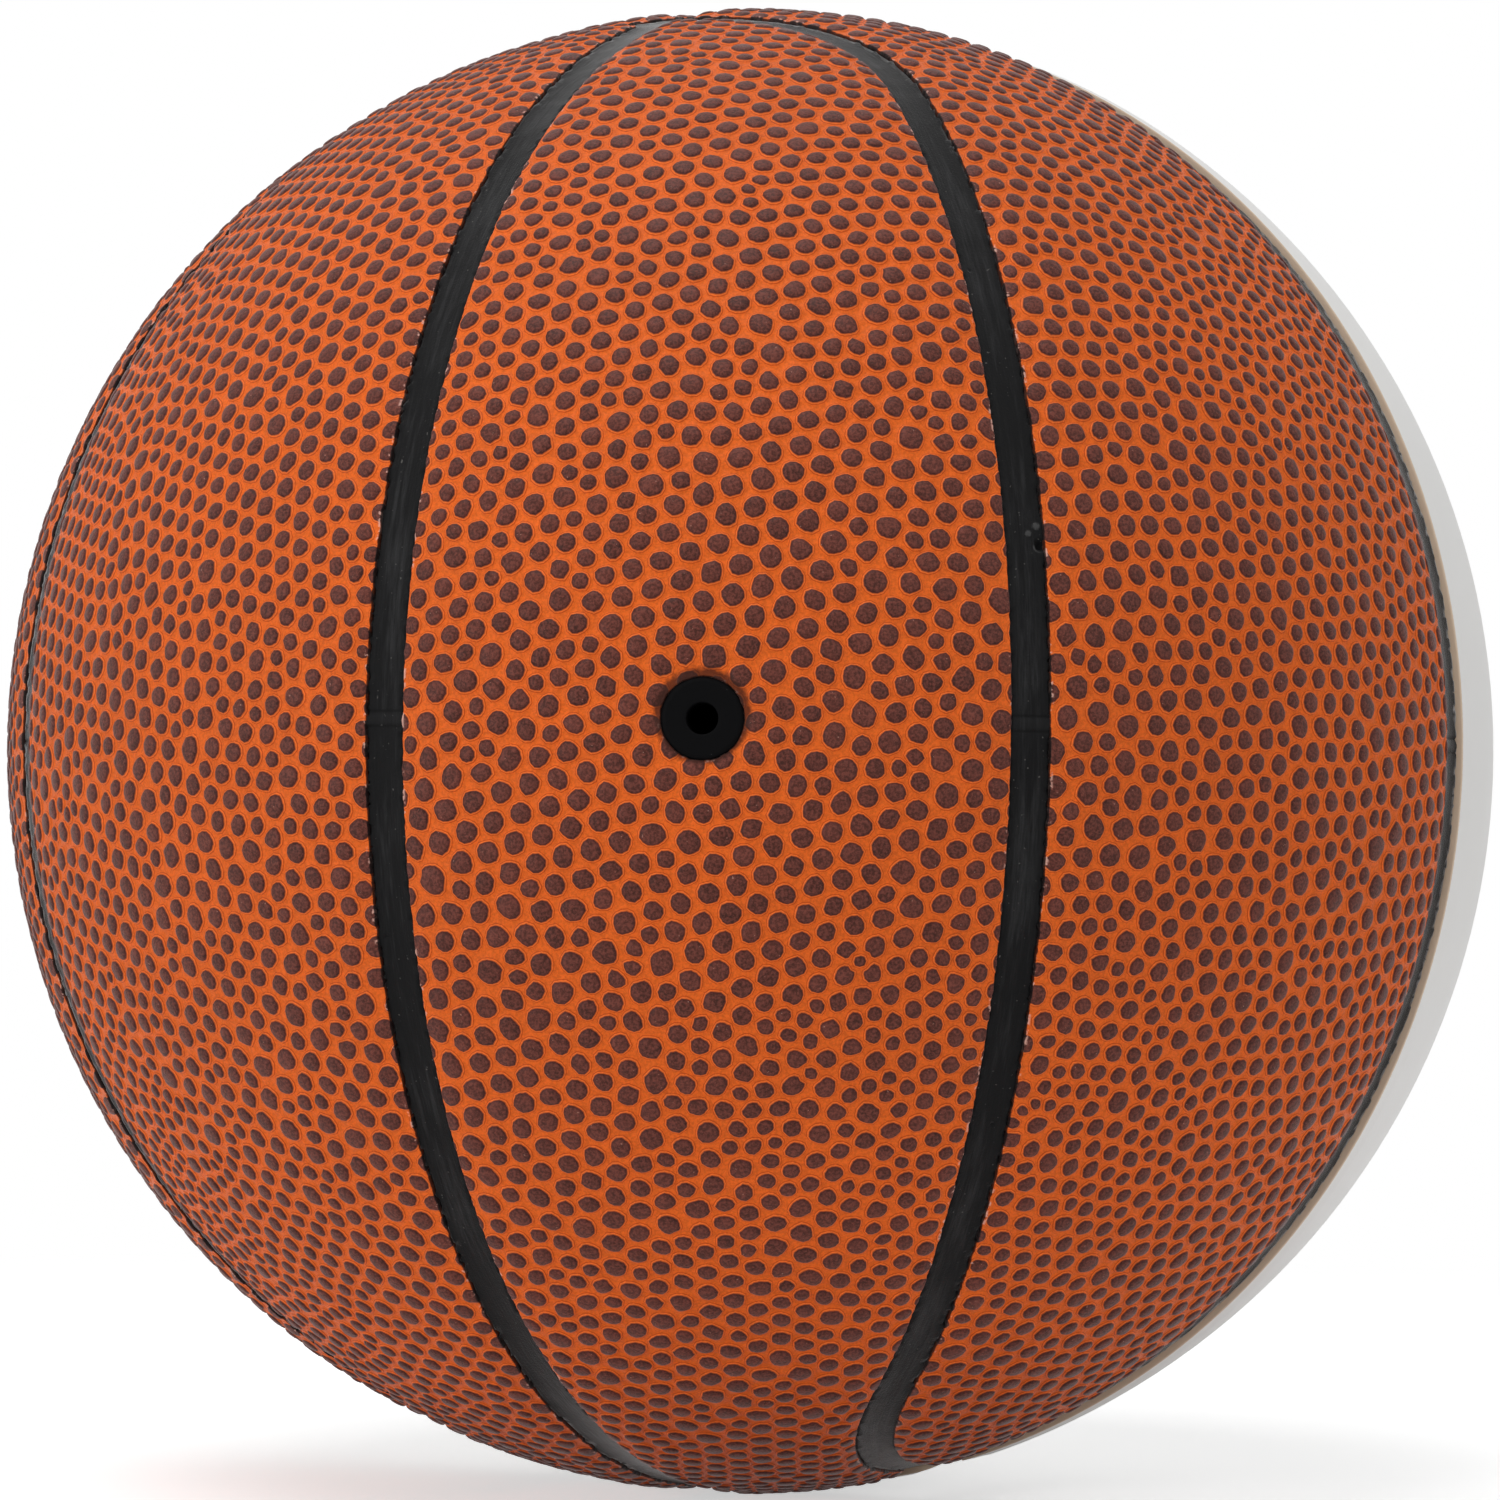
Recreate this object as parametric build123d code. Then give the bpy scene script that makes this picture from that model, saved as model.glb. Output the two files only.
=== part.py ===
from build123d import *
from math import atan2, cos, degrees, radians, sin, sqrt, tan
import os

# Basketball with eight bonded cover panels on a ribbed rubber carcass.
# The origin is the ball's centre, +Z runs through the seam crossing at the top, -Y through the valve.
# All lengths are millimetres and all angles are degrees.

# Cover and seams
ball_diameter = 178.0
panel_thickness = 1.5
panel_edge_round = 0.8
panel_corner_radius = 1.6
seam_width = 4.4
rib_recess = 1.0
parting_ridge_width = 1.0
parting_ridge_height = 0.12
glue_line = 0.05

# Layout of the wavy seam: how far from the pole it crosses the straight seam, and how tightly it turns
crossing_from_pole = 16.4
seam_turn_radius = 44.0
valve_from_straight_seam = 22.5

# Inner layers
carcass_wall = 1.0
winding_wall = 0.35
bladder_wall = 0.6

# Valve
needle_hole_diameter = 3.3
needle_hole_depth = 11.0
needle_lead_in = 0.4
valve_head_diameter = 8.6
valve_head_recess = 0.5
valve_head_round = 0.4
valve_stem_diameter = 6.0
valve_stem_length = 15.0
valve_stem_round = 1.2
valve_running_clearance = 0.05
housing_collar_diameter = 11.0
housing_foot_diameter = 9.0
housing_floor = 3.0
housing_air_hole_diameter = 2.4
flange_diameter = 30.0
flange_thickness = 1.0
boss_shoulder = 2.0

# Radii that follow from the sizes above
ball_radius = ball_diameter / 2
panel_inner_radius = ball_radius - panel_thickness
rib_crown_radius = ball_radius - rib_recess
carcass_radius = panel_inner_radius - glue_line
carcass_inner_radius = carcass_radius - carcass_wall
winding_radius = carcass_inner_radius - glue_line
winding_inner_radius = winding_radius - winding_wall
bladder_radius = winding_inner_radius - glue_line
bladder_inner_radius = bladder_radius - bladder_wall
reach = 2 * ball_diameter

# While the panels are laid out, straight seam A lies in the plane Y = 0, straight seam B in the plane X = 0
# and the wavy seam runs along the meridian X = Y. This turn then brings the valve to -Y.
layout_turn = -90 - valve_from_straight_seam
meridian_normal = Vector(1, -1, 0).normalized()
top_run_normal = Vector(cos(radians(crossing_from_pole)), 0, -sin(radians(crossing_from_pole)))
top_turn_direction = Vector(1, 1, 1 / tan(radians(crossing_from_pole))).normalized()


def quarter_block(gap, low, high):
    """The space between seams A and B, from height low to high, half a seam gap away from both."""
    corner = Location((gap / 2, gap / 2, low))
    aligned = (Align.MIN, Align.MIN, Align.MIN)
    return corner * Box(reach, reach, high - low, align=aligned)


def turn_prism(gap, radius):
    """The panel's side of the wavy seam near the top: two planes that meet in a rounded edge."""
    plane = Plane(origin=(0, 0, 0), x_dir=meridian_normal, z_dir=top_turn_direction)
    run_angle = degrees(atan2(top_run_normal.dot(plane.y_dir), top_run_normal.dot(plane.x_dir)))
    half_angle = run_angle / 2
    corner = Vector(gap / 2 / cos(radians(half_angle)), 0).rotate(Axis.Z, half_angle)
    sideways = Vector(0, reach if run_angle > 0 else -reach)
    along_meridian = sideways
    along_run = -sideways.rotate(Axis.Z, run_angle)
    far = Vector(2 * reach, 0).rotate(Axis.Z, half_angle)
    outline = Polyline(corner, corner + along_meridian, corner + far, corner + along_run, close=True)
    face = make_face(outline)
    turn = face.vertices().sort_by_distance(corner)[0]
    face = fillet(turn, radius)
    return extrude(plane * face, amount=reach)


def swap_sides(shape):
    """Half a turn about the axis midway between seams A and B, which swaps top and bottom."""
    return shape.rotate(Axis((0, 0, 0), (1, 1, 0)), 180)


def panel_region(gap):
    """All that lies over one panel: a cross run ends it at the top, and seam B at the bottom."""
    upper = quarter_block(gap, 0, reach) & turn_prism(gap, seam_turn_radius - gap / 2)
    other_side = turn_prism(-gap, seam_turn_radius + gap / 2)
    lower = quarter_block(gap, -reach, 0) - swap_sides(other_side)
    return upper + lower


def on_seam_wall(edge):
    """True for the straight edges where a panel's corner meets seam A or seam B."""
    middle = edge.center()
    wall = seam_width / 2
    return min(abs(middle.X - wall), abs(middle.Y - wall)) < wall / 100


def cover_panel():
    """One cover panel with rounded corners and a rounded outer edge."""
    shell = Sphere(ball_radius) - Sphere(panel_inner_radius)
    panel = (shell & panel_region(seam_width)).solids()[0]
    corners = panel.edges().filter_by(GeomType.LINE).filter_by(on_seam_wall)
    panel = fillet(corners, panel_corner_radius)
    outer_face = panel.faces().sort_by(SortBy.AREA)[-1]
    return fillet(outer_face.edges(), panel_edge_round)


def eight_copies(shape):
    """The panel pattern: each quarter holds the shape and its swapped copy, mirrored in seams A and B."""
    pair = (shape, swap_sides(shape))
    quarters = []
    for item in pair:
        quarters.append(item)
        quarters.append(item.mirror(Plane.XZ))
        quarters.append(item.mirror(Plane.YZ))
        quarters.append(item.rotate(Axis.Z, 180))
    return [item.rotate(Axis.Z, layout_turn) for item in quarters]


def on_valve_axis(shape):
    """Turn a shape that stands on +Z so that it points along the valve axis, -Y."""
    return shape.rotate(Axis.X, 90)


def ball(radius):
    """A ball whose own poles lie on the valve axis."""
    return on_valve_axis(Sphere(radius))


def valve_hole(radius):
    """A round cutter along the valve axis, from the ball's centre outwards."""
    aligned = (Align.CENTER, Align.CENTER, Align.MIN)
    return on_valve_axis(Cylinder(radius, ball_diameter, align=aligned))


def revolved(outline):
    """Spin a half profile, drawn as distance from the axis and distance from the ball's centre."""
    profile = Plane.XZ * make_face(outline)
    return on_valve_axis(revolve(profile, Axis.Z))


# Valve sizes, measured outwards from the ball's centre along the valve axis
collar_radius = housing_collar_diameter / 2
collar_hole_radius = collar_radius + glue_line
stem_radius = valve_stem_diameter / 2
stem_bore_radius = stem_radius + valve_running_clearance
head_radius = valve_head_diameter / 2
head_hole_radius = head_radius + valve_running_clearance
needle_radius = needle_hole_diameter / 2
head_face = ball_radius - valve_head_recess
collar_top = sqrt(panel_inner_radius ** 2 - collar_radius ** 2) - glue_line
stem_end = collar_top - valve_stem_length
bore_floor = stem_end - glue_line
housing_end = bore_floor - housing_floor
guide_end = head_face - needle_hole_depth
guide_tip = guide_end - needle_radius


def valve_core():
    """Rubber plug: a round head that shows, a stem in the housing and a blind guide for the needle."""
    outline = Polyline(
        (0, guide_tip),
        (needle_radius, guide_end),
        (needle_radius, head_face - needle_lead_in),
        (needle_radius + needle_lead_in, head_face),
        (head_radius, head_face),
        (head_radius, collar_top),
        (stem_radius, collar_top),
        (stem_radius, stem_end),
        (0, stem_end),
        close=True,
    )
    core = revolved(outline)
    outer_rims = core.faces().sort_by(Axis.Y)[0].edges().sort_by(SortBy.RADIUS)
    core = fillet(outer_rims[-1], valve_head_round)
    stem_rims = core.faces().sort_by(Axis.Y)[-1].edges()
    return fillet(stem_rims, valve_stem_round)


def valve_housing():
    """Rubber boss: a collar through the wall, a flange inside the bladder and a tapered tube."""
    flange_outer = bladder_inner_radius - glue_line
    flange_inner = flange_outer - flange_thickness
    flange_radius = flange_diameter / 2
    foot_radius = housing_foot_diameter / 2
    tube_radius = collar_radius + boss_shoulder

    def height(sphere_radius, from_axis):
        return sqrt(sphere_radius ** 2 - from_axis ** 2)

    def arc_point(sphere_radius, inner, outer):
        middle = (inner + outer) / 2
        return (middle, height(sphere_radius, middle))

    outer_arc = ThreePointArc(
        (collar_radius, height(flange_outer, collar_radius)),
        arc_point(flange_outer, collar_radius, flange_radius),
        (flange_radius, height(flange_outer, flange_radius)),
    )
    inner_arc = ThreePointArc(
        (flange_radius, height(flange_inner, flange_radius)),
        arc_point(flange_inner, tube_radius, flange_radius),
        (tube_radius, height(flange_inner, tube_radius)),
    )
    air_radius = housing_air_hole_diameter / 2
    rest = Polyline(
        inner_arc @ 1,
        (foot_radius, housing_end),
        (air_radius, housing_end),
        (air_radius, bore_floor),
        (stem_bore_radius, bore_floor),
        (stem_bore_radius, collar_top),
        (collar_radius, collar_top),
        outer_arc @ 0,
    )
    rim = Line(outer_arc @ 1, inner_arc @ 0)
    return revolved([outer_arc, rim, inner_arc, rest])


def carcass():
    """Rubber shell with the seam ribs between the panels and the mould's parting ridge across them."""
    ridge = ball(rib_crown_radius + parting_ridge_height) & Box(reach, reach, parting_ridge_width)
    ribbed = ball(rib_crown_radius) + ridge
    rib_width = seam_width - 2 * glue_line
    pocket = panel_region(rib_width) - Sphere(carcass_radius)
    for panel_pocket in eight_copies(pocket.solids()[0]):
        ribbed -= panel_pocket
    return ribbed - ball(carcass_inner_radius) - valve_hole(collar_hole_radius)


def inner_layer(outer_radius, inner_radius):
    """A closed layer of the wall with a hole for the valve housing."""
    return ball(outer_radius) - ball(inner_radius) - valve_hole(collar_hole_radius)


# Copies come in this order: the first four are the panel as drawn, the last four its swapped form
panel_names = (
    "pebbled_panel_valve",
    "pebbled_panel_left",
    "smooth_panel_back_right",
    "smooth_panel_back",
    "pebbled_panel_right",
    "pebbled_panel_far_left",
    "smooth_panel_right",
    "smooth_panel_back_left",
)

pieces = dict(zip(panel_names, eight_copies(cover_panel())))
pieces["pebbled_panel_valve"] -= valve_hole(head_hole_radius)
pieces["carcass"] = carcass()
pieces["thread_winding"] = inner_layer(winding_radius, winding_inner_radius)
pieces["bladder"] = inner_layer(bladder_radius, bladder_inner_radius)
pieces["valve_housing"] = valve_housing()
pieces["valve_core"] = valve_core()

os.makedirs("parts", exist_ok=True)
for name, piece in pieces.items():
    export_step(piece, "parts/" + name + ".step")
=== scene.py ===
import math
import random

import bmesh
import bpy
import numpy as np
from mathutils import Matrix, Vector, noise


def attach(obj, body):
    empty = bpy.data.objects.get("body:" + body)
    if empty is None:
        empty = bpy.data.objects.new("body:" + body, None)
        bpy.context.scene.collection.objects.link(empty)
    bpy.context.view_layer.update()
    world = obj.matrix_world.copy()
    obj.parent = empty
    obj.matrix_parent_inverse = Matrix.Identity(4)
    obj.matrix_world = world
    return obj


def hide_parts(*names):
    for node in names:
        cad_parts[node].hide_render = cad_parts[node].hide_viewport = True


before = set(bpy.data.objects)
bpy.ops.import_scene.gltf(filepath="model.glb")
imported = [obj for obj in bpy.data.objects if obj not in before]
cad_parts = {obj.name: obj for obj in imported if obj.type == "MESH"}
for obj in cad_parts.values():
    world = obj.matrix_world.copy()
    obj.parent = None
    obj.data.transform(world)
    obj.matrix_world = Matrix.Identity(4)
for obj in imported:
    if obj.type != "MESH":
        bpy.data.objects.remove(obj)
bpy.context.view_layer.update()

bl_info = {
    "name": "Pebbled Basketball",
    "version": (1, 0, 0),
    "blender": (4, 5, 0),
    "location": "View3D > Sidebar > Basketball",
    "description": "Dresses a packed ball with cover panels, ribbed seams and a valve",
    "category": "Object",
}

MM = 0.001
IMAGE_PIXELS = 1500
SENSOR_WIDTH = 36.0

# A loop of up to this many open edges is a scrap or a pinhole of a cut, and a scrap has fewer faces.
SCRAP_EDGES = 12
SCRAP_FACES = 60

# A cut runs through points that lie no further from its line than this.
SNAP = 0.02 * MM

# Cuts in each edge of the icosphere, which set the pebbles' pitch.
BALL_CUTS = 8

# Distances stored for the materials end at this many millimetres.
FURTHEST = 6

# Rows of points along a panel's edge, in millimetres inside it.
PEBBLED_EDGE_ROWS = (0.07, 0.17, 0.3)
SMOOTH_EDGE_ROWS = (0.04, 0.1, 0.18, 0.3, 0.7, 1.3, 2.0, 2.7)

# Rings of a pebble from its foot up: inset in millimetres, share of its height, and ink.
PEBBLE_RINGS = ((0.27, 0.42, 0.5), (0.14, 0.72, 0.75), (0.36, 0.94, 1.0))

# Random shift of the pebbles in millimetres, then rounds of evening out.
# One site in so many is missing, and one edge in so many gets a new site.
SITE_ROUNDS = ((1.1, 6), (0.6, 12), (0.1, 0))
MISSING_SITES = 90
ADDED_SITES = 400

# Seed of the first panel's pebbles.
FIRST_SEED = 40

# Panels in the order of their copies: as drawn or swapped top to bottom, then mirrored in the seams.
# Each row gives the CAD node, whether it is swapped, and the signs of X and Y.
PANEL_COPIES = (
    ("pebbled_panel_valve", False, 1, 1),
    ("pebbled_panel_left", False, 1, -1),
    ("smooth_panel_back_right", False, -1, 1),
    ("smooth_panel_back", False, -1, -1),
    ("pebbled_panel_right", True, 1, 1),
    ("pebbled_panel_far_left", True, 1, -1),
    ("smooth_panel_right", True, -1, 1),
    ("smooth_panel_back_left", True, -1, -1),
)

# Metres from the ball's centre between which the floor turns into the backdrop.
FLOOR_FADE_START = 0.16
FLOOR_FADE_END = 0.42

# Marks in the ribs: longitude from the valve and latitude in degrees, radius and height in millimetres.
RIB_MARKS = (
    (23.7, 12.3, 0.95, -0.8),
    (23.5, 13.7, 0.7, 0.1),
    (22.9, 13.2, 0.6, 0.08),
    (22.2, 49.9, 0.32, -0.28),
    (21.6, 34.0, 0.3, -0.16),
    (22.9, -28.5, 0.34, -0.2),
    (-21.6, 27.0, 0.3, -0.16),
    (-23.4, -15.0, 0.32, -0.18),
    (-24.1, -0.2, 0.45, 0.2),
)


def screen_colour(red, green, blue):
    """The linear colour that shows on screen as these three 0 to 255 values."""
    linear = []
    for value in (red, green, blue):
        share_of_white = value / 255
        if share_of_white < 0.04045:
            linear.append(share_of_white / 12.92)
        else:
            linear.append(((share_of_white + 0.055) / 1.055) ** 2.4)
    return tuple(linear)


def length(name, description, millimetres):
    """A length property whose default is given in millimetres."""
    return bpy.props.FloatProperty(
        name=name, description=description, default=millimetres * MM, unit="LENGTH", precision=5)


def angle(name, description, degrees):
    """An angle property whose default is given in degrees."""
    return bpy.props.FloatProperty(
        name=name, description=description, default=math.radians(degrees), subtype="ANGLE")


def share(name, description, default):
    """A property between 0 and 1."""
    return bpy.props.FloatProperty(
        name=name, description=description, default=default, min=0, max=1, subtype="FACTOR")


def power(name, description, watts):
    """The power of a lamp."""
    return bpy.props.FloatProperty(name=name, description=description, default=watts, unit="POWER")


def colour(name, description, red, green, blue):
    """A colour property whose default is given as it shows on screen."""
    return bpy.props.FloatVectorProperty(
        name=name, description=description, default=screen_colour(red, green, blue),
        min=0, max=1, size=3, subtype="COLOR")


class BallSizes(bpy.types.PropertyGroup):
    """Lengths and angles of the ball"""

    ball_radius: length("Ball radius", "Radius over the cover", 89.0)
    panel_inner_radius: length("Panel inner radius", "Radius of the panels' glued side", 87.5)
    seat_radius: length("Seat radius", "Radius of the carcass under the panels", 87.45)
    carcass_inner_radius: length("Carcass inner radius", "Radius inside the carcass", 86.45)
    rib_edge_radius: length("Rib edge radius", "Radius of a rib where it meets the panels", 88.02)
    rib_middle_radius: length("Rib middle radius", "Radius along the middle of a rib", 87.78)
    seam_width: length("Seam width", "Distance between neighbouring panels", 4.4)
    panel_edge_round: length("Panel edge round", "Rounding of a panel's outer edge", 0.16)
    edge_dip: length("Edge dip", "How far a panel sinks towards its edge", 0.29)
    edge_dip_reach: length("Edge dip reach", "How far from its edge a panel begins to sink", 3.4)
    edge_wobble: length("Edge wobble", "How far a cut edge strays from its line", 0.11)
    panel_corner_radius: length("Panel corner radius", "Rounding of a panel's corners", 1.6)
    seam_turn_radius: length("Seam turn radius", "Radius of the wavy seam's turns", 44.0)
    crossing_from_pole: angle("Crossing from pole", "Where the wavy seam crosses a straight one", 16.4)
    valve_from_seam: angle("Valve from seam", "Angle from a straight seam to the valve", 22.5)
    pebble_height: length("Pebble height", "Height of a pebble over the valleys", 0.46)
    pebble_spread: share("Pebble spread", "Pebble radius as a share of the way to its neighbour", 0.486)
    parting_half_width: length("Parting half width", "From the mould line's middle to its creases", 0.8)
    parting_height: length("Parting height", "Height of the mould line across the ribs", 0.07)
    valve_hole_radius: length("Valve hole radius", "Radius of the hole in the cover", 4.35)
    valve_face_radius: length("Valve face radius", "From the ball's centre to the valve's face", 88.42)
    collar_hole_radius: length("Collar hole radius", "Radius of the hole in the carcass", 5.55)


class BallColours(bpy.types.PropertyGroup):
    """Colours of the ball and the floor, as they show on screen"""

    cover_orange: colour("Cover orange", "Valleys between the pebbles", 222, 100, 30)
    # Painted highlight: a lighter orange on the pebbles' sloping sides, as if they caught the light.
    slope_highlight_orange: colour("Slope orange", "Sloping sides of the pebbles", 234, 112, 44)
    # Painted shade: a dark orange line in the crease at the foot of each pebble.
    crease_shade_orange: colour("Crease orange", "Fine line at the foot of a pebble", 172, 58, 10)
    pebble_brown: colour("Pebble brown", "Ink on the pebbles' tops", 96, 52, 44)
    # Painted shade: a darker brown round the rims of the pebbles' tops and on their upper slopes, where
    # they turn down.
    rim_shade_brown: colour("Ink edge", "Heavy ink round the pebbles' tops", 70, 32, 30)
    backing_pink: colour("Backing pink", "Backing that shows along cut edges", 226, 176, 160)
    smooth_white: colour("Smooth white", "Smooth cover panels", 236, 235, 233)
    # Painted reflection: a warm tan line along the rolled edges of the smooth panels.
    edge_reflection_tan: colour("Edge tan", "Cut edge of the smooth panels", 206, 174, 140)
    rib_black: colour("Rib black", "Rubber of the seam ribs", 8, 8, 9)
    # Grey of rubbed rubber and painted sheen along the middle of the ribs, also the painted highlight on
    # the mould line's raised band.
    rib_grey_wear_and_sheen: colour("Rib grey", "Rubbed rubber along the middle of the ribs", 40, 40, 41)
    valve_black: colour("Valve black", "Rubber of the valve", 7, 7, 8)
    thread_ivory: colour("Thread ivory", "Nylon winding under the carcass", 205, 196, 172)
    butyl_black: colour("Butyl black", "Bladder", 30, 30, 31)
    floor_white: colour("Floor white", "Studio floor", 248, 248, 248)


class StudioSettings(bpy.types.PropertyGroup):
    """Camera and lights"""

    camera_distance: length("Camera distance", "From the ball's centre to the camera", 578.5)
    camera_turn: angle("Camera turn", "How far the camera stands to the right of the valve", 3.21)
    camera_rise: angle("Camera rise", "How far the camera stands over the equator", -2.15)
    camera_roll: angle("Camera roll", "How far the camera leans to the right", -0.6)
    focal_share: bpy.props.FloatProperty(
        name="Focal length", description="Focal length in widths of the image",
        default=4775.2 / IMAGE_PIXELS)
    lift: bpy.props.FloatProperty(
        name="Lift", description="How far the view is shifted up, in widths of the image",
        default=1 / IMAGE_PIXELS)
    sky_light: share("Sky light", "Even light from all around", 0.28)
    floor_glow: share("Floor glow", "What lifts the floor to white where the camera sees it", 0.54)
    left_power: power("Left power", "Softbox to the left of the camera", 5.1)
    right_power: power("Right power", "Softbox to the right of the camera", 3.0)
    top_power: power("Top power", "Softbox over the ball", 7.6)


class Wire:
    """A shader socket: arithmetic on wires and numbers adds Math nodes."""

    def __init__(self, finish, socket):
        self.finish = finish
        self.socket = socket

    def maths(self, operation, first, second):
        return self.finish.add("ShaderNodeMath", {"operation": operation}, {0: first, 1: second})

    def __add__(self, other):
        return self.maths("ADD", self, other)

    def __sub__(self, other):
        return self.maths("SUBTRACT", self, other)

    def __rsub__(self, other):
        return self.maths("SUBTRACT", other, self)

    def __mul__(self, other):
        return self.maths("MULTIPLY", self, other)

    __radd__ = __add__
    __rmul__ = __mul__

    def __abs__(self):
        return self.maths("ABSOLUTE", self, 0)

    def larger(self, other):
        return self.maths("MAXIMUM", self, other)

    def other(self, output):
        """Another output of the same node."""
        return Wire(self.finish, self.socket.node.outputs[output])


class Finish:
    """The nodes of a material or a world in the making."""

    def __init__(self, block):
        self.block = block
        self.block.use_nodes = True
        self.tree = self.block.node_tree
        self.tree.nodes.clear()

    def add(self, kind, settings=None, sockets=None, output=0):
        """Add a node: its settings first, then the values or wires of its sockets."""
        node = self.tree.nodes.new(kind)
        for key, value in (settings or {}).items():
            setattr(node, key, value)
        for key, value in (sockets or {}).items():
            if isinstance(value, Wire):
                self.tree.links.new(value.socket, node.inputs[key])
            elif hasattr(value, "__len__") and len(node.inputs[key].default_value) == 4:
                node.inputs[key].default_value = (*value[:3], 1)
            else:
                node.inputs[key].default_value = value
        return Wire(self, node.outputs[output]) if len(node.outputs) else None

    def attribute(self, name):
        return self.add("ShaderNodeAttribute", {"attribute_name": name}, output="Fac")

    def place(self):
        return self.add("ShaderNodeTexCoord", output="Object")

    def grain(self, place, scale, detail=2.0, roughness=0.5):
        """Noise from 0 to 1 with so many features to a metre."""
        sockets = {"Vector": place, "Scale": scale, "Detail": detail, "Roughness": roughness}
        return self.add("ShaderNodeTexNoise", None, sockets)

    def ease(self, value, low, high):
        """0 below low, 1 above high and smooth between them."""
        sockets = {"Value": value, "From Min": low, "From Max": high}
        return self.add("ShaderNodeMapRange", {"interpolation_type": "SMOOTHSTEP"}, sockets)

    def blend(self, first, second, factor, mode="MIX"):
        """One colour over another."""
        settings = {"data_type": "RGBA", "blend_type": mode}
        return self.add("ShaderNodeMix", settings, {0: factor, 6: first, 7: second}, output=2)

    def shaded(self, base, level):
        """A colour made lighter or darker by a value."""
        grey = self.add("ShaderNodeCombineColor", None, {"Red": level, "Green": level, "Blue": level})
        return self.blend(base, grey, 1.0, "MULTIPLY")

    def bump(self, height, strength, distance):
        sockets = {"Height": height, "Strength": strength, "Distance": distance}
        return self.add("ShaderNodeBump", None, sockets)

    def seen_directly(self):
        """1 for what the camera sees, also by a mirror or through glass."""
        camera = self.add("ShaderNodeLightPath", output="Is Camera Ray")
        return camera.larger(camera.other("Is Glossy Ray")).larger(camera.other("Is Transmission Ray"))

    def mixed(self, first, second, factor):
        """One shader over another."""
        return self.add("ShaderNodeMixShader", None, {0: factor, 1: first, 2: second})

    def surface(self, sockets):
        """Finish with a Principled BSDF that has these sockets."""
        shader = self.add("ShaderNodeBsdfPrincipled", None, sockets)
        self.add("ShaderNodeOutputMaterial", None, {"Surface": shader})
        return self.block


def pebbled_cover_finish(colours):
    """Orange cover with brown ink on the pebbles and pale backing along the cut edges, with a painted
    highlight on the pebbles' slopes, painted shade in the creases at their feet and round the rims of
    their tops, and a painted shadow round the valve hole.
    """
    finish = Finish(bpy.data.materials.new("pebbled_cover"))
    cap = finish.attribute("cap")
    tone = finish.attribute("tone")
    edge = finish.attribute("edge")
    hole = finish.attribute("hole")
    place = finish.place()
    ragged = finish.grain(place, 1700)
    fine = finish.grain(place, 3400, 3.0, 0.65)
    smudge = finish.grain(place, 520)
    broad = finish.grain(place, 60)
    printed = cap + (ragged - 0.5) * 0.34
    ink = finish.ease(printed, 0.5, 0.6)
    # Painted shade: a dark band just outside the ink, on the upper slopes of the pebbles.
    rim_shade_band = finish.ease(printed, 0.34, 0.52)
    crisp = finish.ease(fine, 0.34, 0.66)
    floor_shade = 0.66 + broad * 0.16 + crisp * 0.26 + smudge * 0.2
    # Painted shade in the crease at the foot of each pebble.
    crease = finish.ease(cap, 0.0, 0.05) * (1 - finish.ease(cap, 0.12, 0.26))
    # Painted highlight: the slopes of the pebbles get a lighter orange.
    slope = finish.ease(cap, 0.16, 0.3)
    orange = finish.blend(colours.cover_orange, colours.slope_highlight_orange, slope)
    orange = finish.blend(orange, colours.crease_shade_orange, crease * (0.25 + smudge * 0.75))
    orange = finish.shaded(orange, floor_shade)
    top_shade = 0.32 + tone * 0.2 + crisp * 0.86 + finish.ease(smudge, 0.5, 0.75) * 0.25
    # Painted shade: the tops darken towards their rims, where they round down.
    brown = finish.blend(colours.rim_shade_brown, colours.pebble_brown, finish.ease(cap, 0.6, 0.92))
    brown = finish.shaded(brown, top_shade)
    painted = finish.blend(orange, colours.rim_shade_brown, rim_shade_band * 0.7)
    painted = finish.blend(painted, brown, ink * 0.97)
    specks = finish.ease(finish.grain(place, 2900, 1.0), 0.76, 0.8)
    painted = finish.blend(painted, colours.backing_pink, specks * ink * 0.3)
    flecks = finish.ease(ragged * 1.2 + finish.grain(place, 420, 1.0), 1.24, 1.36)
    bare = flecks * (1 - finish.ease(edge, 0.1, 0.4))
    painted = finish.blend(painted, colours.backing_pink, bare * 0.8)
    wall = 1 - finish.ease(edge + (ragged - 0.5) * 0.1, 0.03, 0.1)
    painted = finish.blend(painted, colours.rib_black, wall * 0.92)
    height = finish.add("ShaderNodeSeparateXYZ", None, {"Vector": place}, output="Z")
    above_valve = finish.ease(height * (1 / MM), -4, 4)
    # Painted shadow round the valve hole, where the cover dips to the valve, heavier on its upper side.
    valve_hole_shadow = 1 - finish.ease(hole + (ragged - 0.5) * 0.7 - above_valve * 0.5, 0.05, 0.8)
    painted = finish.blend(painted, screen_colour(52, 22, 12), valve_hole_shadow * 0.85)
    roughness = 0.46 - ink * 0.06 + fine * 0.14
    normal = finish.bump(fine + ragged * 0.5, 0.6, 0.0001)
    return finish.surface({
        "Base Color": painted, "Roughness": roughness, "Normal": normal, "Specular IOR Level": 0.13,
        "Sheen Weight": 0.14, "Sheen Roughness": 0.35})


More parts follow.
